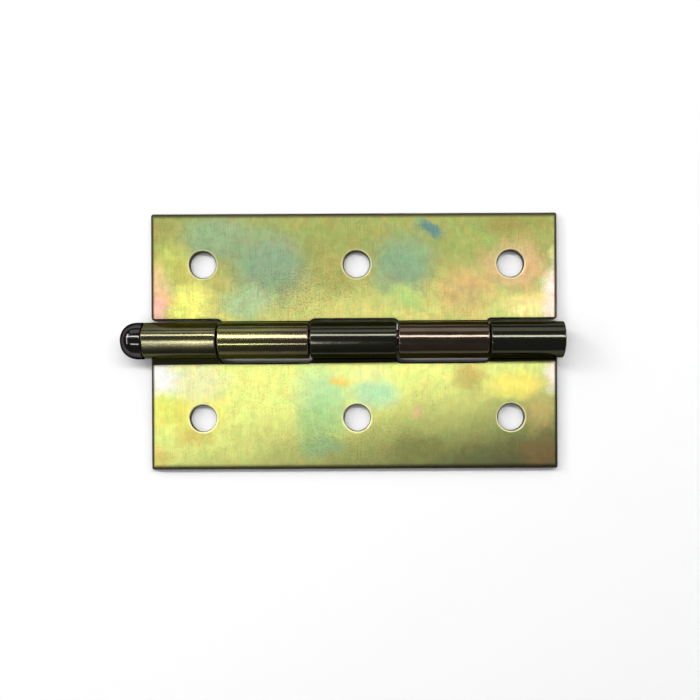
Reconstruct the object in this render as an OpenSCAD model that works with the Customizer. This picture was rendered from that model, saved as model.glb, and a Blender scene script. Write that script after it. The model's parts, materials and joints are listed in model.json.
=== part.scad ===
// Steel butt hinge, open flat: two leaves cut from sheet and rolled into five
// knuckles, on a loose pin with a domed head.
//
// The frame: X runs along the barrel, Y across the leaves and Z up. The origin is
// on the plane of the leaves' backs, at mid length, straight under the pin's axis.
// The leaf with three knuckles lies on -Y and the leaf with two on +Y.

/* [Leaves] */
// Length of each leaf along the barrel
leaf_l = 101.6; // [95:0.1:120]
// Width over both leaves with the hinge open flat
open_w = 64; // [56:0.5:90]
// Thickness of the sheet
sheet_t = 2; // [1.4:0.1:2.2]
// Gap, seen in plan, between a notch and the knuckle in it
notch_gap = 0.8; // [0.6:0.1:1.5]
// Radius in the inside corners of the notches
notch_r = 1.2; // [0.6:0.1:1.2]

/* [Barrel] */
// Diameter of the bore that the sheet is rolled round
bore_d = 5.1; // [5.1:0.02:5.18]
// Length of barrel that stands past each end of the leaves
barrel_proud = 1; // [0.2:0.1:2]
// Distance from mid length to the two inner joints between knuckles
inner_joint = 10.8; // [8:0.1:14]
// Distance from mid length to the two outer joints between knuckles
outer_joint = 33.4; // [28:0.1:38]
// Gap at each joint between knuckles
joint_gap = 0.4; // [0.2:0.05:0.6]
// Size of the worn edge round the ends of each knuckle
edge_break = 0.3; // [0.1:0.05:0.5]
// Angle below the pin's axis at which the rolled sheet ends
seam_angle = 30; // [10:1:30]

/* [Screw holes] */
// Diameter of the screw holes
hole_d = 6.5; // [4:0.1:7]
// Distance from one hole to the next in a row
hole_pitch = 38.5; // [30:0.5:40]
// How far the middle hole of a row is from mid length
hole_shift = 0.65; // [-1:0.05:1]
// Distance from the outer edge of a leaf to its row of holes
hole_margin = 12.8; // [8:0.1:14]

/* [Pin] */
// Diameter of the pin
pin_d = 5; // [4.96:0.01:5.06]
// Diameter of the pin's head
head_d = 9.1; // [7:0.1:9.1]
// Length of the straight rim under the dome
head_rim = 1.2; // [0.5:0.1:2]
// Height of the dome above the rim
dome_h = 4.6; // [3:0.1:5]
// Fullness of the dome, where 2 is an ellipse and more is squarer
dome_power = 2.3; // [2:0.1:3]
// Play between the head and the end of the barrel
head_play = 0.05; // [0.02:0.01:0.2]
// Depth of the pin's tip inside the other end of the barrel
tip_inset = 0.5; // [0:0.1:2]
// Chamfer round the pin's tip
tip_chamfer = 0.8; // [0.3:0.1:1.5]

/* [Hidden] */

bore_r = bore_d / 2;
barrel_r = bore_r + sheet_t;
barrel_end = leaf_l / 2 + barrel_proud;
leaf_end = leaf_l / 2;
leaf_edge = open_w / 2;
notch_y = barrel_r + notch_gap;
hole_y = leaf_edge - hole_margin;
half_gap = joint_gap / 2;
head_r = head_d / 2;
head_edge = 0.3;    // worn edge round the underside of the head
over = 1;           // how far a cutting tool runs past the metal
bite = 0.5;         // how far a knuckle's strap is let into its leaf
dome_steps = 16;

// The ends of each knuckle, along X, in the order in which they sit on the pin
knuckles = [
    [-barrel_end, -outer_joint - half_gap],
    [-outer_joint + half_gap, -inner_joint - half_gap],
    [-inner_joint + half_gap, inner_joint - half_gap],
    [inner_joint + half_gap, outer_joint - half_gap],
    [outer_joint + half_gap, barrel_end],
];
three_side = [knuckles[0], knuckles[2], knuckles[4]];
two_side = [knuckles[1], knuckles[3]];

zinc = [0.80, 0.77, 0.50];
dark_zinc = [0.30, 0.28, 0.25];

// Stands a shape that is drawn along +Z on the pin's axis, running along +X.
module on_axis(x) {
    translate([x, 0, barrel_r]) rotate([0, 90, 0]) children();
}

// A solid round of the barrel's size with its end edges worn.
module knuckle_round(x0, x1) {
    len = x1 - x0;
    on_axis(x0) rotate_extrude($fn = 96) polygon([
        [0, 0],
        [barrel_r - edge_break, 0],
        [barrel_r, edge_break],
        [barrel_r, len - edge_break],
        [barrel_r - edge_break, len],
        [0, len],
    ]);
}

// The flat strap that runs from the leaf to under the pin's axis, on +Y.
module knuckle_strap(x0, x1) {
    left = max(x0, -leaf_end);
    right = min(x1, leaf_end);
    translate([left, 0, 0]) cube([right - left, notch_y + bite, sheet_t]);
}

// The open wedge between the end of the rolled sheet and the front of the strap.
module knuckle_seam(x0, x1) {
    reach = barrel_r + over;
    drop = reach * tan(seam_angle);
    translate([x0 - over, 0, barrel_r]) rotate([90, 0, 90])
        linear_extrude(x1 - x0 + 2 * over)
            polygon([[0, 0], [reach, -drop], [reach, -bore_r], [0, -bore_r]]);
}

// One knuckle: the sheet rolled round the bore and back to the front of its strap.
module knuckle(x0, x1) {
    difference() {
        union() {
            difference() {
                knuckle_round(x0, x1);
                knuckle_seam(x0, x1);
            }
            knuckle_strap(x0, x1);
        }
        on_axis(x0 - over) cylinder(r = bore_r, h = x1 - x0 + 2 * over, $fn = 96);
    }
}

// The metal that rounds the inside corner between a notch and a strap's side.
// side is +1 where the notch lies towards +X of the strap, and -1 towards -X.
module notch_corner(x, side) {
    translate([x, notch_y, 0]) mirror([side < 0 ? 1 : 0, 0, 0]) difference() {
        translate([-bite, -notch_r, 0]) cube([notch_r + bite, notch_r + bite, sheet_t]);
        translate([notch_r, -notch_r, -over])
            cylinder(r = notch_r, h = sheet_t + 2 * over, $fn = 48);
    }
}

// A leaf on +Y with knuckles over the given stretches of the barrel.
module leaf(stretches) {
    difference() {
        union() {
            translate([-leaf_end, notch_y, 0]) cube([leaf_l, leaf_edge - notch_y, sheet_t]);
            for (k = stretches) {
                knuckle(k[0], k[1]);
                if (k[0] > -leaf_end) notch_corner(k[0], -1);
                if (k[1] < leaf_end) notch_corner(k[1], 1);
            }
        }
        for (i = [-1:1])
            translate([hole_shift + i * hole_pitch, hole_y, -over])
                cylinder(d = hole_d, h = sheet_t + 2 * over, $fn = 64);
    }
}

module leaf_with_three_knuckles() {
    color(zinc) mirror([0, 1, 0]) leaf(three_side);
}

module leaf_with_two_knuckles() {
    color(zinc) leaf(two_side);
}

// The pin: drawn from its tip up to its head, then laid with the head towards -X.
module hinge_pin() {
    tip = tip_inset - barrel_end;
    seat = barrel_end + head_play;
    rim = seat + head_rim;
    pin_r = pin_d / 2;
    fullness = 2 / dome_power;
    color(dark_zinc) translate([0, 0, barrel_r]) rotate([0, -90, 0])
        rotate_extrude($fn = 96) polygon(concat(
            [
                [0, tip],
                [pin_r - tip_chamfer, tip],
                [pin_r, tip + tip_chamfer],
                [pin_r, seat],
                [head_r - head_edge, seat],
                [head_r, seat + head_edge],
            ],
            [
                for (i = [0:dome_steps - 1])
                    let (a = 90 * i / dome_steps)
                    [head_r * pow(cos(a), fullness), rim + dome_h * pow(sin(a), fullness)]
            ],
            [[0, rim + dome_h]]
        ));
}

leaf_with_three_knuckles();
leaf_with_two_knuckles();
hinge_pin();
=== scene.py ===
import json
import math
from dataclasses import dataclass

import bmesh
import bpy
import numpy as np
from mathutils import Euler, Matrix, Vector
from mathutils.geometry import delaunay_2d_cdt


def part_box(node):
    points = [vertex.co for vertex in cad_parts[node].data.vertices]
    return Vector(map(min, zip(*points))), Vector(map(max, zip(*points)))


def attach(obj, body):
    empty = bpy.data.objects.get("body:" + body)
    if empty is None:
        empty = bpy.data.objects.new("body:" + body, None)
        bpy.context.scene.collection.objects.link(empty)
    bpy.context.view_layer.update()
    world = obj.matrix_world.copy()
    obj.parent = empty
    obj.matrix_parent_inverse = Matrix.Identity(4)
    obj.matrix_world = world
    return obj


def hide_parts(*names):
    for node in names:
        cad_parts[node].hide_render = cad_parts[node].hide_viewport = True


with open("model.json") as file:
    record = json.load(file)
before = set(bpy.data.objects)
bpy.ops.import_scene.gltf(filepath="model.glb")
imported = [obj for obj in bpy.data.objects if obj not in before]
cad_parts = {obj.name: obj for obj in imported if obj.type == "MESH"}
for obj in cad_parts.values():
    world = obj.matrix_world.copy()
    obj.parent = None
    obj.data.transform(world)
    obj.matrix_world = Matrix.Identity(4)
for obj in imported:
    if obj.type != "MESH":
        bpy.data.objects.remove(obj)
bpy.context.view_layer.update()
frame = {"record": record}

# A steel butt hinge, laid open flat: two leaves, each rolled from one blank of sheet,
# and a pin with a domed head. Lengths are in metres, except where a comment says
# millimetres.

MM = 0.001
PLATED, SHEARED = 0, 1                 # a leaf's two finishes: its faces and its cut edges

# ---------------------------------------------------------------- sizes, from the frame

barrel_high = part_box("leaf_with_three_knuckles")[1]
leaf_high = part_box("leaf_with_two_knuckles")[1]
pin_low, pin_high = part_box("hinge_pin")

SHEET = 2.0 * MM                       # thickness of the leaves' sheet
BARREL_R = leaf_high.z / 2
AXIS_Z = BARREL_R                      # the pin's axis, above the leaves' backs
BORE_R = BARREL_R - SHEET
PIN_R = BORE_R - 0.05 * MM
LEAF_END = leaf_high.x                 # half of the leaves' length
LEAF_EDGE = leaf_high.y                # from the pin's axis to a leaf's outer edge
BARREL_END = barrel_high.x             # half of the barrel's length
JOINT_GAP = 0.4 * MM                   # between neighbouring knuckles
INNER_JOINT = 10.8 * MM                # from mid length to the middle knuckle's joints
OUTER_JOINT = 33.4 * MM                # from mid length to the end knuckles' joints
JOINTS = (-OUTER_JOINT, -INNER_JOINT, INNER_JOINT, OUTER_JOINT)
NOTCH = BARREL_R + 0.8 * MM            # from the pin's axis to a leaf's notches
SEAM_TURN = math.radians(300)          # how far round the pin the sheet is rolled

mounts = {m["name"]: m for m in frame["record"]["mounts"]}
outer_screws = mounts["swinging_leaf_outer_screws"]
HOLE_R = outer_screws["dims"]["hole_r_mm"] * MM
HOLE_PITCH = outer_screws["dims"]["spacing_x_mm"] * MM / 2
HOLE_XS = [outer_screws["pos_m"][0] + i * HOLE_PITCH for i in (-1, 0, 1)]
HOLE_S = outer_screws["pos_m"][1]      # from the pin's axis to the holes' middles

# ---------------------------------------------------------------- meshes


def new_mesh():
    """An empty mesh with the map "sheet", which the materials read."""
    bm = bmesh.new()
    bm.loops.layers.uv.new("sheet")
    return bm


def shown(thing):
    """thing, linked to the scene."""
    bpy.context.scene.collection.objects.link(thing)
    return thing


def finished(bm, name, on_map):
    """The piece made of bm, with each of its points placed on the map "sheet"."""
    sheet_map = bm.loops.layers.uv["sheet"]
    bmesh.ops.recalc_face_normals(bm, faces=bm.faces)
    for face in bm.faces:
        face.smooth = True
        for corner in face.loops:
            corner[sheet_map].uv = on_map[corner.vert]
    mesh = bpy.data.meshes.new(name)
    bm.to_mesh(mesh)
    bm.free()
    return shown(bpy.data.objects.new(name, mesh))


def smooth(t):
    """0 below 0, 1 above 1, and an even curve between."""
    t = min(1.0, max(0.0, t))
    return t * t * (3 - 2 * t)


# ---------------------------------------------------------------- a leaf's blank

# A place on the blank is x along the barrel, and s from under the pin's axis towards the
# leaf's outer edge. s is negative along the part that is rolled.
NEUTRAL_R = BORE_R + SHEET / 2         # radius at which the rolled part is measured
ROW_TURN = math.radians(5)             # turn from one row of the mesh to the next
ROW = NEUTRAL_R * ROW_TURN             # spacing of those rows on the blank
GRID = 1.0 * MM                        # mesh spacing elsewhere
CLEAR = 0.24 * MM                      # least distance from an edge ring to a mesh point
HOLE_SIDES = 56

# The blank's corners: each one's radius, and how many steps its arc is drawn in.
LEAF_CORNER = (0.6 * MM, 5)
KNUCKLE_CORNER = (0.6 * MM, 4)
NOTCH_CORNER = (1.2 * MM, 8)           # beside a knuckle
NOTCH_MOUTH = (0.8 * MM, 6)            # where a notch opens at the leaf's end
FLARE_CORNER = (1.5 * MM, 4)           # where the blank widens into an end knuckle
FLARE_FROM = 3.2 * MM                  # s at which that widening starts
FLARE_TO = 1.0 * MM                    # and at which it is done


def rounded(corners):
    """A closed path through corners, each (x, s, radius, steps), with arcs for radii."""
    path = []
    for i, (x, s, radius, steps) in enumerate(corners):
        here = Vector((x, s))
        before = (Vector(corners[i - 1][:2]) - here).normalized()
        after = (Vector(corners[(i + 1) % len(corners)][:2]) - here).normalized()
        half = math.acos(max(-1.0, min(1.0, before.dot(after)))) / 2
        centre = here + (before + after).normalized() * radius / math.sin(half)
        first = here + before * radius / math.tan(half) - centre
        last = here + after * radius / math.tan(half) - centre
        turn = first.angle_signed(last)
        for k in range(steps + 1):
            a = -turn * k / steps
            path.append(centre + Vector((
                first.x * math.cos(a) - first.y * math.sin(a),
                first.x * math.sin(a) + first.y * math.cos(a),
            )))
    return path


def stations(a, b, step):
    """Whole multiples of step that lie between a and b, in the order from a to b."""
    low, high = min(a, b) + 0.4 * step, max(a, b) - 0.4 * step
    found = [k * step for k in range(math.ceil(low / step), math.floor(high / step) + 1)]
    return found if a < b else found[::-1]


def divided(path):
    """The closed path with points added where the mesh's rows and columns meet it."""
    points = []
    for i, p in enumerate(path):
        q = path[(i + 1) % len(path)]
        points.append(p)
        if abs(q.x - p.x) > abs(q.y - p.y):
            points += [p.lerp(q, (x - p.x) / (q.x - p.x)) for x in stations(p.x, q.x, GRID)]
            continue
        rows = [s for s in stations(p.y, q.y, ROW) if s < 0]
        rows += [s for s in stations(p.y, q.y, GRID) if s >= 0]
        for s in sorted(rows, reverse=q.y < p.y):
            if min(abs(s - p.y), abs(s - q.y)) > 0.4 * ROW:
                points.append(p.lerp(q, (s - p.y) / (q.y - p.y)))
    return points


def beside_knuckle(x):
    """The blank's corners at one side of a knuckle, from the leaf to the knuckle."""
    if abs(x) > LEAF_END:
        leaf_end = math.copysign(LEAF_END, x)
        return [(leaf_end, FLARE_FROM, *FLARE_CORNER), (x, FLARE_TO, *FLARE_CORNER)]
    return [(x, NOTCH, *NOTCH_CORNER)]


def blank_outline(knuckles):
    """The cut blank, anticlockwise from the left. Each knuckle is its two ends in x."""
    seam = -NEUTRAL_R * SEAM_TURN
    corners = []
    for start, end in knuckles:
        corners += beside_knuckle(start)
        corners += [(start, seam, *KNUCKLE_CORNER), (end, seam, *KNUCKLE_CORNER)]
        corners += beside_knuckle(end)[::-1]
    if knuckles[-1][1] < LEAF_END:
        corners.insert(0, (-LEAF_END, NOTCH, *NOTCH_MOUTH))
        corners.append((LEAF_END, NOTCH, *NOTCH_MOUTH))
    corners += [(LEAF_END, LEAF_EDGE, *LEAF_CORNER), (-LEAF_END, LEAF_EDGE, *LEAF_CORNER)]
    return divided(rounded(corners))


def hole_outline(x):
    """A punched hole, clockwise, so that the metal is on its left as on the outline."""
    turns = [2 * math.pi * k / HOLE_SIDES for k in range(HOLE_SIDES)]
    return [Vector((x + HOLE_R * math.cos(a), HOLE_S - HOLE_R * math.sin(a))) for a in turns]


def inside(points, loops):
    """Which points are in the metal between loops, and how far each is from a loop."""
    in_metal = np.zeros(len(points), bool)
    near = np.full(len(points), np.inf)
    for loop in loops:
        a = np.array([p[:] for p in loop])
        b = np.roll(a, -1, axis=0)
        for p, q in zip(a, b):
            d = q - p
            t = np.clip(((points - p) @ d) / (d @ d), 0, 1)
            near = np.minimum(near, np.linalg.norm(points - p - t[:, None] * d, axis=1))
            crosses = (p[1] > points[:, 1]) != (q[1] > points[:, 1])
            with np.errstate(divide="ignore", invalid="ignore"):
                at = p[0] + (points[:, 1] - p[1]) * (q[0] - p[0]) / (q[1] - p[1])
            in_metal ^= crosses & (points[:, 0] < at)
    return in_metal, near


def grid_points(loops):
    """Points in rows and columns over the metal, clear of the loops."""
    columns = math.ceil(BARREL_END / GRID)
    rolled_rows = np.arange(-math.ceil(SEAM_TURN / ROW_TURN), 0) * ROW
    flat_rows = np.arange(0, math.ceil(LEAF_EDGE / GRID)) * GRID
    xs = np.arange(-columns, columns + 1) * GRID
    points = np.array([(x, s) for s in (*rolled_rows, *flat_rows) for x in xs])
    in_metal, near = inside(points, loops)
    return [Vector(p) for p in points[in_metal & (near > CLEAR)]]


def filled(loops):
    """Triangles over the metal between loops, as triples of the numbers of points. The
    points are the loops' own and then the added ones, which are returned with them."""
    points, edges = [], []
    for loop in loops:
        start, count = len(points), len(loop)
        points += loop
        edges += [(start + k, start + (k + 1) % count) for k in range(count)]
    added = grid_points(loops)
    # The triangulation works in millimetres, well above its smallest length.
    scaled = [p / MM for p in points + added]
    found, _, faces, origin, _, _ = delaunay_2d_cdt(scaled, edges, [], 0, 1e-5)
    middles = np.array([sum((found[i] for i in f), Vector((0, 0))) / 3 for f in faces]) * MM
    in_metal, _ = inside(middles, loops)
    triangles = [tuple(origin[i][0] for i in f) for f, ok in zip(faces, in_metal) if ok]
    return triangles, added


# ---------------------------------------------------------------- the rolled leaves

# A sheared edge in section, from the back face to the front face: how far each ring of
# the mesh is set in from the edge, and its height as a share of the sheet's thickness.
FLAT_EDGE = [
    (0.25 * MM, 0.0),
    (0.10 * MM, 0.0),
    (0.02 * MM, 0.03),
    (0.0, 0.12),
    (0.0, 0.70),
    (0.05 * MM, 0.84),
    (0.15 * MM, 0.94),
    (0.36 * MM, 1.0),
    (0.50 * MM, 1.0),
]
ROLLED_EDGE = [
    (0.40 * MM, 0.0),
    (0.28 * MM, 0.0),
    (0.10 * MM, 0.05),
    (0.0, 0.18),
    (0.0, 0.80),
    (0.03 * MM, 0.90),
    (0.08 * MM, 0.96),
    (0.16 * MM, 1.0),
    (0.28 * MM, 1.0),
]
ROLL_FROM = 3.5 * MM                   # s from which the flat section turns into the
ROLL_OVER = 4.0 * MM                   # rolled one, and the length that it takes

# The bands between those rings that are torn metal, along the outline and in a hole.
OUTLINE_TORN = (2, 3, 4, 5, 6)
HOLE_TORN = (2, 3, 4, 5)

# Sheet is never quite flat: a leaf's front sinks here and there by up to SINK.
SINK = 0.02 * MM
SINK_OVER = 3 * MM                     # it starts over this length from the rolled part
WAVE_X, WAVE_S, WAVE_SKEW = 9 * MM, 6 * MM, 17 * MM

# A knuckle's outside falls short of a true round, as rolled sheet does. For each from -X
# to +X: how many lobes go round it, where they start, and half of their depth.
KNUCKLE_LOBES = [
    (5, 0.1, 0.140 * MM),
    (6, 0.5, 0.060 * MM),
    (5, 0.1, 0.070 * MM),
    (5, 0.1, 0.035 * MM),
    (5, 3.1, 0.045 * MM),
]
LOBES_START, LOBES_END = 0.8, 0.5      # turns over which the lobes fade in and out


def edge_ring(ring, s):
    """A ring's inset and its share of the thickness at s."""
    t = smooth((ROLL_FROM - s) / ROLL_OVER)
    return [a + (b - a) * t for a, b in zip(FLAT_EDGE[ring], ROLLED_EDGE[ring])]


def inset_loop(loop, ring):
    """The loop moved into the metal, to where that ring of its edge is."""
    points = []
    for i, p in enumerate(loop):
        along = (loop[(i + 1) % len(loop)] - p).normalized() + (p - loop[i - 1]).normalized()
        along.normalize()
        points.append(p + Vector((-along.y, along.x)) * edge_ring(ring, p.y)[0])
    return points


def shortfall(x, turn):
    """How far a knuckle's outside falls short of a true round. turn is 0 under the axis,
    pi on top and SEAM_TURN where the sheet ends."""
    lobes, phase, depth = KNUCKLE_LOBES[sum(x > joint for joint in JOINTS)]
    fade = smooth(turn / LOBES_START) * smooth((SEAM_TURN - turn) / LOBES_END)
    return fade * depth * (1 + math.sin(lobes * (turn - math.pi) + phase))


def leaf_point(x, s, share, side):
    """Where a point of the blank ends up. share is 0 on the back face and 1 on the front,
    which is inside a knuckle. side is the leaf's side of the pin, 1 or -1."""
    depth = share * SHEET
    if s >= 0:
        wave = 0.5 + 0.25 * math.sin(x / WAVE_X + side)
        wave += 0.25 * math.sin(s / WAVE_S + x / WAVE_SKEW)
        return Vector((x, side * s, depth - share * SINK * wave * smooth(s / SINK_OVER)))
    turn = -s / NEUTRAL_R
    radius = BARREL_R - depth - shortfall(x, turn) * (1 - share)
    return Vector((x, -side * radius * math.sin(turn), AXIS_Z - radius * math.cos(turn)))


def join_rings(bm, rings):
    """The bands of faces along a leaf's outline and round its holes, from back to front."""
    for ring, (lower, upper) in enumerate(zip(rings, rings[1:])):
        for loop, (a, b) in enumerate(zip(lower, upper)):
            torn = ring in (HOLE_TORN if loop else OUTLINE_TORN)
            for i in range(len(a)):
                j = (i + 1) % len(a)
                face = bm.faces.new((a[i], a[j], b[j], b[i]))
                face.material_index = SHEARED if torn else PLATED


def leaf_mesh(name, knuckles, side):
    """One leaf as a closed mesh: edge rings from back to front, and two filled faces."""
    loops = [blank_outline(knuckles)] + [hole_outline(x) for x in HOLE_XS]
    insets = [[inset_loop(loop, ring) for loop in loops] for ring in range(len(FLAT_EDGE))]
    bm = new_mesh()
    on_map = {}

    def vert(p, share):
        v = bm.verts.new(leaf_point(p.x, p.y, share, side))
        on_map[v] = (p.x, p.y)
        return v

    rings = []
    for ring, ring_loops in enumerate(insets):
        rings.append([[vert(p, edge_ring(ring, p.y)[1]) for p in loop] for loop in ring_loops])
    join_rings(bm, rings)
    for ring, share in ((0, 0.0), (-1, 1.0)):
        triangles, added = filled(insets[ring])
        verts = [v for loop in rings[ring] for v in loop]
        verts += [vert(p, share) for p in added]
        for t in triangles:
            bm.faces.new([verts[i] for i in (t if share else t[::-1])])
    return finished(bm, name, on_map)


half_gap = JOINT_GAP / 2
three_knuckles = [
    (-BARREL_END, -OUTER_JOINT - half_gap),
    (-INNER_JOINT + half_gap, INNER_JOINT - half_gap),
    (OUTER_JOINT + half_gap, BARREL_END),
]
two_knuckles = [
    (-OUTER_JOINT + half_gap, -INNER_JOINT - half_gap),
    (INNER_JOINT + half_gap, OUTER_JOINT - half_gap),
]
fixed_leaf = leaf_mesh("rolled_leaf_three_knuckles", three_knuckles, -1)
swinging_leaf = leaf_mesh("rolled_leaf_two_knuckles", two_knuckles, 1)

# ---------------------------------------------------------------- the pin

HEAD_R = (pin_high.z - pin_low.z) / 2
HEAD_SEAT = BARREL_END + 0.05 * MM     # where the head meets the barrel, towards -X
HEAD_TIP = -pin_low.x
HEAD_RIM = 1.2 * MM                    # length of the head before its dome
RIM_ROUND = 0.3 * MM                   # radius of the rim's edge towards the barrel
RIM_STEPS = 6
DOME_POWER = 2.3                       # 2 is an ellipse, and more is squarer
DOME_STEPS = 40
TIP = pin_high.x
SHANK_STEP = 4 * MM                    # mesh spacing along the shank
PIN_SIDES = 128

# The tip's chamfer with its corners eased: how far each point is back from the tip, and
# how far in from the shank's radius.
TIP_CHAMFER = [
    (0.0, 1.0 * MM),
    (0.0, 0.85 * MM),
    (0.04 * MM, 0.78 * MM),
    (0.74 * MM, 0.06 * MM),
    (0.84 * MM, 0.0),
]


def quarter(steps):
    """The turns of a quarter circle in that many steps."""
    return [math.radians(90 * k / steps) for k in range(steps + 1)]


def head_profile():
    """The head in section, from its seat to the top of its dome."""
    profile = [(HEAD_SEAT, HEAD_R - 2 * RIM_ROUND)]
    for a in quarter(RIM_STEPS):
        along = HEAD_SEAT + RIM_ROUND * (1 - math.cos(a))
        profile.append((along, HEAD_R - RIM_ROUND * (1 - math.sin(a))))
    profile.append((HEAD_SEAT + (RIM_ROUND + HEAD_RIM) / 2, HEAD_R))
    dome_base = HEAD_SEAT + HEAD_RIM
    for a in quarter(DOME_STEPS):
        along = dome_base + (HEAD_TIP - dome_base) * math.sin(a) ** (2 / DOME_POWER)
        profile.append((along, HEAD_R * max(0.0, math.cos(a)) ** (2 / DOME_POWER)))
    return profile


def pin_profile():
    """Half of the pin in section, as (distance along -X, radius) from tip to head."""
    profile = [(-TIP, 0.0)] + [(-TIP + back, PIN_R - inward) for back, inward in TIP_CHAMFER]
    steps = int((HEAD_SEAT + TIP) / SHANK_STEP)
    profile += [(-TIP + k * SHANK_STEP, PIN_R) for k in range(1, steps + 1)]
    profile += [(HEAD_SEAT - RIM_ROUND, PIN_R), (HEAD_SEAT, PIN_R)]
    return profile + head_profile()


def pin_mesh(name):
    """The pin turned about its axis, closed at both ends."""
    bm = new_mesh()
    on_map, rings = {}, []
    for along, radius in pin_profile():
        ring = []
        # A ring on the axis is a single point.
        for k in range(PIN_SIDES if radius > 1e-6 else 1):
            a = 2 * math.pi * k / PIN_SIDES
            v = bm.verts.new((-along, radius * math.sin(a), AXIS_Z + radius * math.cos(a)))
            on_map[v] = (along, radius)
            ring.append(v)
        rings.append(ring)
    for a, b in zip(rings, rings[1:]):
        for k in range(PIN_SIDES):
            j = k + 1
            corners = [a[k % len(a)], a[j % len(a)], b[j % len(b)], b[k % len(b)]]
            bm.faces.new([v for i, v in enumerate(corners) if v not in corners[:i]])
    return finished(bm, name, on_map)


pin = pin_mesh("pin_with_domed_head")

# ---------------------------------------------------------------- shader nodes


class Shader:
    """A material's node tree, with short calls for the nodes that these looks use."""

    def __init__(self, name):
        self.material = bpy.data.materials.new(name)
        self.material.use_nodes = True
        self.tree = self.material.node_tree
        self.tree.nodes.clear()
        self.surface = self.node("BsdfPrincipled")
        self.link(self.surface.outputs[0], self.node("OutputMaterial").inputs["Surface"])

    def node(self, kind, **settings):
        node = self.tree.nodes.new("ShaderNode" + kind)
        for name, value in settings.items():
            setattr(node, name, value)
        return node

    def link(self, out, socket):
        self.tree.links.new(out, socket)

    def put(self, socket, value):
        """Links value if it is another node's output, and sets it if it is a constant."""
        if isinstance(value, bpy.types.NodeSocket):
            self.link(value, socket)
        elif socket.type == "RGBA":
            socket.default_value = (*value, 1.0)
        else:
            socket.default_value = value

    def give(self, name, value):
        """Sets or links one of the surface's own sockets."""
        self.put(self.surface.inputs[name], value)

    def fill(self, sockets, *values):
        for socket, value in zip(sockets, values):
            self.put(socket, value)

    def math(self, operation, a, b=0.0):
        node = self.node("Math", operation=operation)
        self.fill(node.inputs, a, b)
        return node.outputs[0]

    def ramp(self, value, low, high, to_low=0.0, to_high=1.0):
        """value taken from low..high to to_low..to_high on an even curve."""
        node = self.node("MapRange", interpolation_type="SMOOTHSTEP")
        self.fill(node.inputs, value, low, high, to_low, to_high)
        return node.outputs[0]

    def mix(self, factor, a, b, blend="MIX"):
        """The colour a turned towards the colour b by factor."""
        node = self.node("Mix", data_type="RGBA", blend_type=blend)
        self.put(node.inputs["Factor"], factor)
        self.fill(node.inputs[6:8], a, b)
        return node.outputs[2]

    def between(self, factor, a, b):
        """The number a turned towards the number b by factor."""
        node = self.node("Mix")
        self.put(node.inputs["Factor"], factor)
        self.fill(node.inputs[2:4], a, b)
        return node.outputs[0]

    def grey(self, value):
        node = self.node("CombineColor")
        self.fill(node.inputs, value, value, value)
        return node.outputs[0]

    def noise(self, vector, scale, detail=2.0, rough=0.5, distortion=0.0, out="Fac"):
        node = self.node("TexNoise")
        self.put(node.inputs["Vector"], vector)
        self.put(node.inputs["Scale"], scale)
        self.put(node.inputs["Detail"], detail)
        self.put(node.inputs["Roughness"], rough)
        self.put(node.inputs["Distortion"], distortion)
        return node.outputs[out]

    def mapped(self, vector, move=(0, 0, 0), scale=(1, 1, 1), turn=0.0):
        """vector moved so that move is its origin, turned about Z and stretched."""
        node = self.node("Mapping", vector_type="TEXTURE")
        self.fill(node.inputs, vector, move, (0, 0, turn), scale)
        return node.outputs[0]

    def patch(self, vector, x, s, half_x, half_s, turn=0.0):
        """1 at the middle of an oval of the sheet, fading to 0 at its rim. x, s and the
        oval's halves are in millimetres, and its turn is in degrees."""
        middle, halves = (x * MM, s * MM, 0), (half_x * MM, half_s * MM, 1)
        node = self.node("TexGradient", gradient_type="SPHERICAL")
        self.put(node.inputs["Vector"], self.mapped(vector, middle, halves, math.radians(turn)))
        return self.ramp(node.outputs["Fac"], 0.0, 0.75)

    def sheet_coords(self):
        """Distance along the barrel, and over a leaf's sheet towards its outer edge. On the
        pin the second is the distance from its axis."""
        return self.node("UVMap", uv_map="sheet").outputs[0]

    def object_coords(self):
        return self.node("TexCoord").outputs["Object"]

    def x_and_s(self, vector):
        node = self.node("SeparateXYZ")
        self.put(node.inputs[0], vector)
        return node.outputs[0], node.outputs[1]

    def distance(self, vector, place):
        node = self.node("VectorMath", operation="DISTANCE")
        self.fill(node.inputs, vector, place)
        return node.outputs["Value"]

    def warped(self, vector, scale, amount):
        """vector pushed about by a cloudy noise, so that shapes in it lose their outline."""
        cloud = self.noise(vector, scale, detail=6.0, rough=0.68, out="Color")
        pushed = self.node("VectorMath", operation="MULTIPLY_ADD")
        self.fill(pushed.inputs, cloud, (amount, amount, 0), vector)
        centred = self.node("VectorMath", operation="SUBTRACT")
        self.fill(centred.inputs, pushed.outputs[0], (amount / 2, amount / 2, 0))
        return centred.outputs[0]

    def bumps(self, *layers):
        """Bump from (height, strength, distance) layers, one on the other."""
        normal = None
        for height, strength, distance in layers:
            node = self.node("Bump")
            self.put(node.inputs["Height"], height)
            self.put(node.inputs["Strength"], strength)
            self.put(node.inputs["Distance"], distance)
            if normal is not None:
                self.link(normal, node.inputs["Normal"])
            normal = node.outputs[0]
        return normal


# ---------------------------------------------------------------- the leaves' plating


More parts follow.
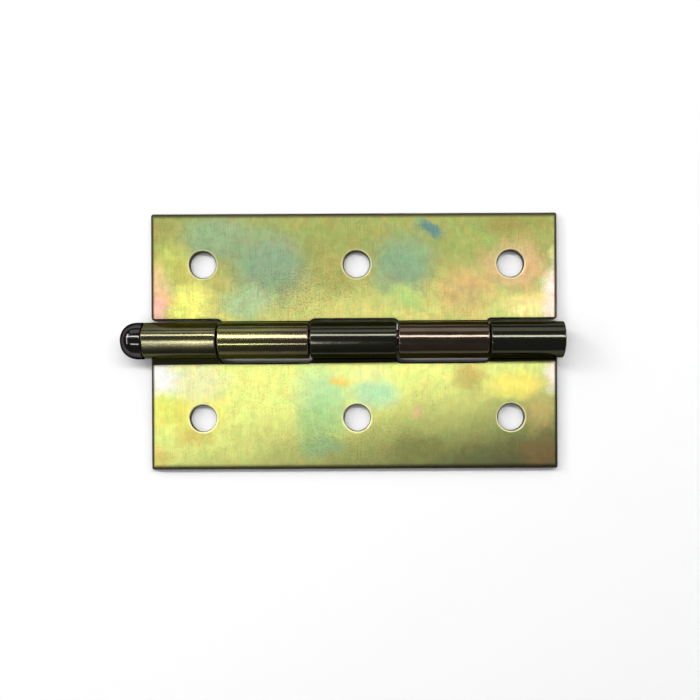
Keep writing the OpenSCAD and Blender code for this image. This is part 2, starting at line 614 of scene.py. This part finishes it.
@dataclass
class Plating:
    """What differs from one leaf's plating to the other's."""
    near: tuple                        # colour of the flat part by the barrel, brightened by painted light
    far: tuple                         # and towards the outer edge, darkened by painted shade
    tone_and_painted_light_fall: tuple                        # the distances from the axis between which it turns: the film's tone and painted light
    tone_and_painted_light_lean: float                   # how far those lean towards the axis along x
    stains_and_light_patches: list                       # stains, and patches of painted light, as in the two lists below
    grain: float                       # strength of the grain, flecks and specks, 0 to 1
    specked: tuple                     # x, s and halves, in millimetres, of the oval where
                                       # the dark specks are thickest
    rim_highlight: tuple                        # colour of the painted highlight about each hole
    left: tuple                        # colour of the rolled part towards -X
    right: tuple                       # and towards +X
    film_and_painted_shadow_edge: float                   # how far from the axis the rolled part's film ends; past the barrel's side it is painted shadow
    film_and_painted_shadow_lean: float                   # how far that leans towards the axis along x
    gloss: tuple                       # the rolled part's roughness, towards -X and +X


# Colours and lengths that both leaves' plating has.
PINK_FLECK, GREEN_FLECK = (1.08, 0.96, 0.98), (0.93, 1.04, 1.03)
SPECK = (0.10, 0.10, 0.05)
EDGE_SHADE = (0.03, 0.025, 0.015)
STREAK = (0.06, 0.06, 0.05)
# colour of the painted shade on the knuckles' flanks
PAINTED_FLANK_SHADE = (0.03, 0.03, 0.015)
LEAF_TINT = (0.35, 0.35, 0.30)         # of reflections at a low angle
GRAIN_WIDTH, GRAIN_LENGTH = 0.22 * MM, 5 * MM
STREAK_WIDTH, STREAK_LENGTH = 3.2 * MM, 14 * MM
SPECK_SIZE = 0.45 * MM
CLOUD_SCALE, CLOUD_REACH = 110, 9 * MM # of the noise that pushes the stains and painted light about
END_SHADE = (0.45 * MM, 1.0 * MM)       # the distances from a leaf's ends, and from its outer edge, between which the painted shade fades
OUTER_SHADE = (0.45 * MM, 1.5 * MM)     # outer edge, between which the dark line fades
EDGE_SHADE_STRENGTH = 0.97
# the ring of painted highlight about each hole: its radius, and how far it fades to either side
HIGHLIGHT_RING_R, HIGHLIGHT_RING_WIDTH = HOLE_R + 0.40 * MM, 0.35 * MM
FILM_AND_SHADOW_SOFT = 0.15 * MM                  # half the width of the soft edge of the rolled film and its painted shadow
COLOUR_TURN = (-28 * MM, -6 * MM)      # x between which the rolled part changes colour
GLOSS_TURN = (-45 * MM, 45 * MM)       # x between which it changes roughness
PAINTED_FLANK_SPAN = (1.6 * MM, 3.0 * MM)          # distances from its top between which painted shade darkens it


def tone_stains_and_painted_light(sh, cloudy, plating):
    """The flat part's colour: the film's tone, with painted light by the barrel and painted
    shade towards the outer edge, and its soft stains, one of them a patch of painted light.
    """
    x, s = sh.x_and_s(cloudy)
    outward = sh.math("ADD", s, sh.math("MULTIPLY", x, plating.tone_and_painted_light_lean))
    # From the barrel outwards the film's tone darkens: partly the film itself, and partly
    # painted light giving way to painted shade.
    colour = sh.mix(sh.ramp(outward, *plating.tone_and_painted_light_fall), plating.near, plating.far)
    for *oval, strength, tint in plating.stains_and_light_patches:
        mask = sh.math("MULTIPLY", sh.patch(cloudy, *oval), strength)
        colour = sh.mix(mask, colour, tint)
    return colour


def grained(sh, colour, sheet, grain, mottle, strength):
    """colour with its grain and mottle, and small flecks of pink and of green, where the
    film is a shade thinner or thicker."""
    brushed = sh.ramp(grain, 0.25, 0.75, 1.0 - 0.16 * strength, 1.0 + 0.12 * strength)
    mottled = sh.ramp(mottle, 0.25, 0.75, 1.0 - 0.18 * strength, 1.0 + 0.14 * strength)
    shade = sh.grey(sh.math("MULTIPLY", brushed, mottled))
    colour = sh.mix(1.0, colour, shade, "MULTIPLY")
    fleck = sh.noise(sheet, 230, detail=5.0, rough=0.7, distortion=0.8)
    hue = sh.mix(sh.ramp(fleck, 0.36, 0.64), PINK_FLECK, GREEN_FLECK)
    return sh.mix(strength, colour, hue, "MULTIPLY")


def specked(sh, colour, sheet, cloudy, plating):
    """colour with dark specks, here and there and most of all in one oval."""
    spots_at = sh.mapped(sheet, scale=(SPECK_SIZE, SPECK_SIZE, 1))
    spots = sh.noise(spots_at, 1.0, detail=3.0, rough=0.75)
    worst = sh.patch(cloudy, *plating.specked)
    where = sh.math("MAXIMUM", sh.ramp(sh.noise(sheet, 55), 0.38, 0.60), worst)
    least = sh.ramp(worst, 0.0, 1.0, 0.54, 0.44)
    speck = sh.math("MULTIPLY", sh.ramp(spots, least, 0.70), where)
    return sh.mix(sh.math("MULTIPLY", speck, 0.75 * plating.grain), colour, SPECK)


def edged(sh, colour, sheet, rim_highlight):
    """colour with a dark line of painted shade where the shear drew the leaf's edges down,
    and a painted highlight in a ring about each hole."""
    x, s = sh.x_and_s(sheet)
    from_end = sh.math("SUBTRACT", LEAF_END, sh.math("ABSOLUTE", x))
    from_edge = sh.math("SUBTRACT", LEAF_EDGE, s)
    # A dark line along the leaf's ends and outer edge: painted shade where the shear drew them
    # down.
    at_end = sh.ramp(from_end, *END_SHADE, EDGE_SHADE_STRENGTH, 0.0)
    at_edge = sh.ramp(from_edge, *OUTER_SHADE, EDGE_SHADE_STRENGTH, 0.0)
    colour = sh.mix(sh.math("MAXIMUM", at_end, at_edge), colour, EDGE_SHADE)
    # A bright ring about each hole: a painted highlight on its rolled-over rim.
    for hole_x in HOLE_XS:
        away = sh.distance(sheet, (hole_x, HOLE_S, 0))
        from_ring = sh.math("ABSOLUTE", sh.math("SUBTRACT", away, HIGHLIGHT_RING_R))
        colour = sh.mix(sh.ramp(from_ring, 0.0, HIGHLIGHT_RING_WIDTH, 0.55, 0.0), colour, rim_highlight)
    return colour


def rolled_colour(sh, x, s, plating):
    """The rolled part's darker film, streaked along the barrel, with painted shade on its
    flanks.
    """
    streaks_at = sh.mapped(sh.object_coords(), scale=(STREAK_LENGTH, STREAK_WIDTH, STREAK_WIDTH))
    streak = sh.noise(streaks_at, 1.0, detail=3.0, rough=0.6, distortion=0.6)
    colour = sh.mix(sh.ramp(x, *COLOUR_TURN), plating.left, plating.right)
    colour = sh.mix(sh.ramp(streak, 0.35, 0.75, 0.0, 0.5), colour, STREAK)
    # Painted shade darkens the knuckles' flanks, away from their top.
    from_top = sh.math("ABSOLUTE", sh.math("ADD", s, NEUTRAL_R * math.pi))
    return sh.mix(sh.ramp(from_top, *PAINTED_FLANK_SPAN, 0.0, 0.6), colour, PAINTED_FLANK_SHADE)


def zinc_leaf(name, plating):
    """Yellow iridescent zinc on a leaf: satin where flat, and darker and glossier where the
    die has burnished the rolled part. That darker colour reaches past the barrel's side onto
    the flat sheet as a painted shadow band."""
    sh = Shader(name)
    sheet = sh.sheet_coords()
    x, s = sh.x_and_s(sheet)
    cloudy = sh.warped(sheet, CLOUD_SCALE, CLOUD_REACH)
    # The grain runs from the barrel to the leaf's outer edge.
    grain_at = sh.mapped(sheet, scale=(GRAIN_WIDTH, GRAIN_LENGTH, 1))
    grain = sh.noise(grain_at, 1.0, detail=4.0, rough=0.7)
    mottle = sh.noise(cloudy, 420, detail=5.0, rough=0.62)
    # The rolled part's mask reaches past the barrel's side onto the flat sheet. There its dark
    # colour is a painted shadow band.
    film = sh.math("ADD", s, sh.math("MULTIPLY", x, plating.film_and_painted_shadow_lean))
    rolled = sh.ramp(film, plating.film_and_painted_shadow_edge + FILM_AND_SHADOW_SOFT, plating.film_and_painted_shadow_edge - FILM_AND_SHADOW_SOFT)

    colour = tone_stains_and_painted_light(sh, cloudy, plating)
    colour = grained(sh, colour, sheet, grain, mottle, plating.grain)
    colour = specked(sh, colour, sheet, cloudy, plating)
    colour = edged(sh, colour, sheet, plating.rim_highlight)
    colour = sh.mix(rolled, colour, rolled_colour(sh, x, s, plating))
    flat_rough = sh.ramp(mottle, 0.2, 0.8, 0.40, 0.48)
    rolled_rough = sh.ramp(x, *GLOSS_TURN, *plating.gloss)
    wide = sh.noise(sheet, 160)
    flat_grain = sh.math("MULTIPLY", grain, sh.math("SUBTRACT", 1.0, rolled))

    sh.give("Base Color", colour)
    sh.give("Roughness", sh.between(rolled, flat_rough, rolled_rough))
    sh.give("Metallic", 1.0)
    sh.give("Specular Tint", LEAF_TINT)
    sh.give("Normal", sh.bumps((wide, 0.25, 0.2 * MM), (flat_grain, 0.12, 0.02 * MM)))
    return sh.material


def sheared_edge(name):
    """The same zinc over a torn surface: dull and streaked across the thickness, and dark,
    partly its own colour and partly painted shade.
    """
    sh = Shader(name)
    streaks_at = sh.mapped(sh.object_coords(), scale=(0.3 * MM, 0.3 * MM, 3 * MM))
    torn = sh.noise(streaks_at, 1.0, detail=3.0, rough=0.6)
    # Near black: the torn film's own dark colour with painted shade on top.
    dark, light = (0.035, 0.027, 0.02), (0.10, 0.085, 0.05)
    sh.give("Base Color", sh.mix(sh.ramp(torn, 0.3, 0.7), dark, light))
    sh.give("Metallic", 1.0)
    sh.give("Roughness", 0.5)
    sh.give("Normal", sh.bumps((torn, 0.3, 0.05 * MM)))
    return sh.material


def dark_pin(name):
    """The pin's finish: the same plating over a turned and polished surface, near black."""
    sh = Shader(name)
    hue_at = sh.mapped(sh.object_coords(), scale=(3 * MM, 3 * MM, 3 * MM))
    hue = sh.noise(hue_at, 1.0, detail=4.0, rough=0.6)
    rings_at = sh.mapped(sh.sheet_coords(), scale=(0.25 * MM, 0.25 * MM, 1))
    rings = sh.noise(rings_at, 1.0, detail=3.0, rough=0.6)
    violet, brown = (0.055, 0.048, 0.058), (0.075, 0.072, 0.066)
    sh.give("Base Color", sh.mix(sh.ramp(hue, 0.3, 0.7), violet, brown))
    sh.give("Metallic", 1.0)
    sh.give("Specular Tint", (0.20, 0.18, 0.20))
    sh.give("Roughness", sh.ramp(rings, 0.2, 0.8, 0.08, 0.14))
    sh.give("Normal", sh.bumps((rings, 0.05, 0.02 * MM)))
    return sh.material


# The stains, and on the fixed leaf a patch of painted light, in millimetres and degrees: each
# one's x and s, half its length and half its width, its turn, its strength and its colour.
SWINGING_STAINS = [
    (-45, 19, 10, 10, 0, 0.9, (0.40, 0.41, 0.10)),
    (-50, 13, 7, 9, 0, 1.0, (0.64, 0.42, 0.22)),
    (-41, 9, 7, 7, 0, 1.0, (0.72, 0.72, 0.17)),
    (-35, 26, 12, 9, 0, 0.9, (0.20, 0.28, 0.15)),
    (-21, 19, 13, 14, 20, 0.9, (0.18, 0.27, 0.17)),
    (-27, 10, 9, 5, 0, 0.9, (0.32, 0.45, 0.24)),
    (-50, 8, 5, 5, 0, 0.9, (0.74, 0.42, 0.34)),
    (-5, 17, 8, 7, 0, 0.7, (0.30, 0.28, 0.08)),
    (12, 19, 11, 12, -20, 0.9, (0.17, 0.27, 0.16)),
    (13, 11, 7, 5, 0, 0.8, (0.36, 0.48, 0.15)),
    (19, 28, 5, 2.2, -35, 1.0, (0.08, 0.16, 0.14)),
    (28, 12, 10, 8, 0, 0.9, (0.46, 0.32, 0.13)),
    (40, 19, 11, 9, 0, 0.9, (0.50, 0.31, 0.16)),
    (44, 8, 9, 5, 0, 0.9, (0.70, 0.60, 0.24)),
    (40, 29, 12, 3, 0, 0.7, (0.20, 0.18, 0.05)),
    (51, 11, 5, 12, 0, 1.0, (0.76, 0.60, 0.50)),
    (53, 24, 5, 9, 0, 0.9, (0.58, 0.50, 0.24)),
    (-50, 28, 6, 4, 0, 0.6, (0.26, 0.24, 0.07)),
    (30, 25, 8, 5, 0, 0.7, (0.23, 0.29, 0.08)),
]
FIXED_STAINS_AND_LIGHT_PATCH = [
    (-43, 18, 15, 8, 0, 0.8, (0.84, 0.82, 0.16)),
    (-40, 10, 13, 7, 0, 1.0, (0.84, 0.85, 0.42)),
    # painted light: a pale pool on the leaf beside the barrel
    (-50, 9, 9, 7, 0, 1.0, (0.90, 0.90, 0.84)),
    (-40, 24, 6, 4, 0, 0.7, (0.72, 0.54, 0.13)),
    (-51, 30, 6, 5, 0, 0.8, (0.80, 0.66, 0.18)),
    (-8, 13, 10, 10, 0, 0.9, (0.52, 0.78, 0.38)),
    (5, 13, 8, 6, 0, 0.9, (0.50, 0.80, 0.46)),
    (4, 8, 8, 3, 0, 0.8, (0.84, 0.88, 0.36)),
    (-4, 9.6, 3.5, 2, 0, 0.9, (0.88, 0.66, 0.15)),
    (-9, 20, 9, 9, 0, 0.8, (0.43, 0.68, 0.27)),
    (-8, 27, 8, 4, 0, 0.7, (0.32, 0.52, 0.26)),
    (16, 18.5, 1.6, 2.2, 0, 0.9, (0.78, 0.48, 0.26)),
    (29, 9, 6, 5, 0, 0.9, (0.56, 0.44, 0.13)),
    (40, 11, 9, 6, 0, 1.0, (0.92, 0.80, 0.18)),
    (47, 18, 7, 7, 0, 0.6, (0.66, 0.50, 0.18)),
    (51, 9, 4, 6, 0, 1.0, (0.88, 0.80, 0.68)),
    (46, 28, 7, 6, 0, 0.7, (0.26, 0.17, 0.07)),
    (17, 27, 10, 5, 0, 0.6, (0.25, 0.27, 0.08)),
]
fixed_plating = Plating(
    near=(0.86, 0.91, 0.27),
    far=(0.115, 0.125, 0.055),
    tone_and_painted_light_fall=(8 * MM, 44 * MM),
    tone_and_painted_light_lean=0.26,
    stains_and_light_patches=FIXED_STAINS_AND_LIGHT_PATCH,
    grain=0.55,
    specked=(0, 26, 40, 8),
    rim_highlight=(0.95, 0.92, 0.60),
    left=(0.20, 0.19, 0.10),
    right=(0.075, 0.075, 0.055),
    film_and_painted_shadow_edge=5.5 * MM,
    film_and_painted_shadow_lean=0.006,
    gloss=(0.20, 0.13),
)
swinging_plating = Plating(
    near=(0.52, 0.51, 0.16),
    far=(0.23, 0.25, 0.075),
    tone_and_painted_light_fall=(4 * MM, 24 * MM),
    tone_and_painted_light_lean=0.0,
    stains_and_light_patches=SWINGING_STAINS,
    grain=1.0,
    specked=(-10, 13, 20, 10),
    rim_highlight=(0.60, 0.58, 0.36),
    left=(0.26, 0.25, 0.10),
    right=(0.17, 0.125, 0.09),
    film_and_painted_shadow_edge=5.1 * MM,
    film_and_painted_shadow_lean=0.0,
    gloss=(0.18, 0.14),
)
edge_finish_and_shade = sheared_edge("zinc_sheared_edge_and_shade")
fixed_leaf.data.materials.append(zinc_leaf("yellow_zinc_fixed_leaf", fixed_plating))
fixed_leaf.data.materials.append(edge_finish_and_shade)
swinging_leaf.data.materials.append(zinc_leaf("yellow_zinc_swinging_leaf", swinging_plating))
swinging_leaf.data.materials.append(edge_finish_and_shade)
pin.data.materials.append(dark_pin("dark_zinc_pin"))

# ---------------------------------------------------------------- what each piece stands for

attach(fixed_leaf, "fixed_leaf")
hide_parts("leaf_with_three_knuckles")
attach(swinging_leaf, "swinging_leaf")
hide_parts("leaf_with_two_knuckles")
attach(pin, "pin")
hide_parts("hinge_pin")

# ---------------------------------------------------------------- floor, light and camera

FLOOR_REACH = 3.0
FLOOR_Z = -0.05 * MM                   # just under the leaves' backs
GLOW = (0.22, 0.95)                    # distances between which the floor starts to glow
WALL_FOOT = 0.14                       # sine of the angle up to which the wall is paler
WALL_PALE, WALL_DIM = 0.92, 0.13       # its strength at the horizon, and higher up
LAMP_Z = 0.60
CAMERA_X, CAMERA_Y = 7.6 * MM, -19.8 * MM
CAMERA_Z = SHEET + 230 * MM
CAMERA_TURN = math.radians(-0.27)
SENSOR, LENS = 36.0, 47.3              # in millimetres, as Blender has them
SHIFT_X, SHIFT_Y = -0.05, 0.10


def make_floor():
    """A plain white surface just under the hinge, which glows a little far from it."""
    r = FLOOR_REACH
    corners = [(-r, -r, FLOOR_Z), (r, -r, FLOOR_Z), (r, r, FLOOR_Z), (-r, r, FLOOR_Z)]
    mesh = bpy.data.meshes.new("floor")
    mesh.from_pydata(corners, [], [(0, 1, 2, 3)])
    floor = shown(bpy.data.objects.new("floor", mesh))
    sh = Shader("white_floor")
    away = sh.distance(sh.object_coords(), (0, 0, 0))
    sh.give("Base Color", (0.95, 0.95, 0.95))
    sh.give("Roughness", 0.9)
    sh.give("Emission Color", (0.80, 0.80, 0.80))
    sh.give("Emission Strength", sh.ramp(away, *GLOW))
    floor.data.materials.append(sh.material)


def softbox(name, centre, size, radiance, turn_y=0, turn_z=0):
    """A rectangular lamp at centre, facing the barrel, of even brightness radiance. Its
    first side runs along X, then is turned by degrees about Y and about Z."""
    lamp = bpy.data.lights.new(name, "AREA")
    lamp.shape = "RECTANGLE"
    lamp.size, lamp.size_y = size
    # An area lamp of power P shines with radiance P / (pi x area).
    lamp.energy = radiance * math.pi * size[0] * size[1]
    box = shown(bpy.data.objects.new(name, lamp))
    box.location = centre
    tip = -math.atan2(centre[1], centre[2])
    box.rotation_euler = Euler((tip, math.radians(turn_y), math.radians(turn_z)), "XYZ")


def make_lights():
    """Two strips along the barrel, lamps past its two ends, and a dim panel behind."""
    softbox("key_strip", (-0.35, 0.284, LAMP_Z), (1.7, 0.08), 12.5, turn_z=-8)
    softbox("left_strip", (-0.26, -0.265, LAMP_Z), (0.40, 0.05), 11.5)
    softbox("left_end", (-0.90, -0.02, LAMP_Z), (0.06, 0.60), 12.0, turn_y=-55)
    softbox("left_panel", (-0.90, 0.50, LAMP_Z), (0.20, 0.30), 10.0, turn_y=-50)
    softbox("right_panel", (1.00, 0.50, LAMP_Z), (0.20, 0.30), 13.0, turn_y=53)
    softbox("back_panel", (-0.1, 0.85, 0.52), (1.2, 0.40), 0.9)


def make_world():
    """A dim studio whose wall is pale along its foot, where it meets the floor."""
    world = bpy.data.worlds.new("studio")
    world.use_nodes = True
    nodes, links = world.node_tree.nodes, world.node_tree.links
    direction = nodes.new("ShaderNodeTexCoord")
    height = nodes.new("ShaderNodeSeparateXYZ")
    glow = nodes.new("ShaderNodeMapRange")
    glow.interpolation_type = "SMOOTHSTEP"
    glow.inputs["From Min"].default_value = 0.0
    glow.inputs["From Max"].default_value = WALL_FOOT
    glow.inputs["To Min"].default_value = WALL_PALE
    glow.inputs["To Max"].default_value = WALL_DIM
    links.new(direction.outputs["Generated"], height.inputs[0])
    links.new(height.outputs["Z"], glow.inputs["Value"])
    links.new(glow.outputs[0], nodes["Background"].inputs["Strength"])
    nodes["Background"].inputs["Color"].default_value = (1.0, 1.0, 1.03, 1)
    bpy.context.scene.world = world


def make_camera():
    """Straight above the front of the leaves, a little towards the fixed leaf."""
    data = bpy.data.cameras.new("camera")
    data.sensor_width = SENSOR
    data.lens = LENS
    data.clip_start = 0.01
    data.clip_end = 20.0
    data.shift_x = SHIFT_X
    data.shift_y = SHIFT_Y
    camera = shown(bpy.data.objects.new("camera", data))
    camera.location = (CAMERA_X, CAMERA_Y, CAMERA_Z)
    camera.rotation_euler = (0, 0, CAMERA_TURN)
    bpy.context.scene.camera = camera


make_floor()
make_lights()
make_world()
make_camera()
bpy.context.scene.view_settings.view_transform = "Standard"
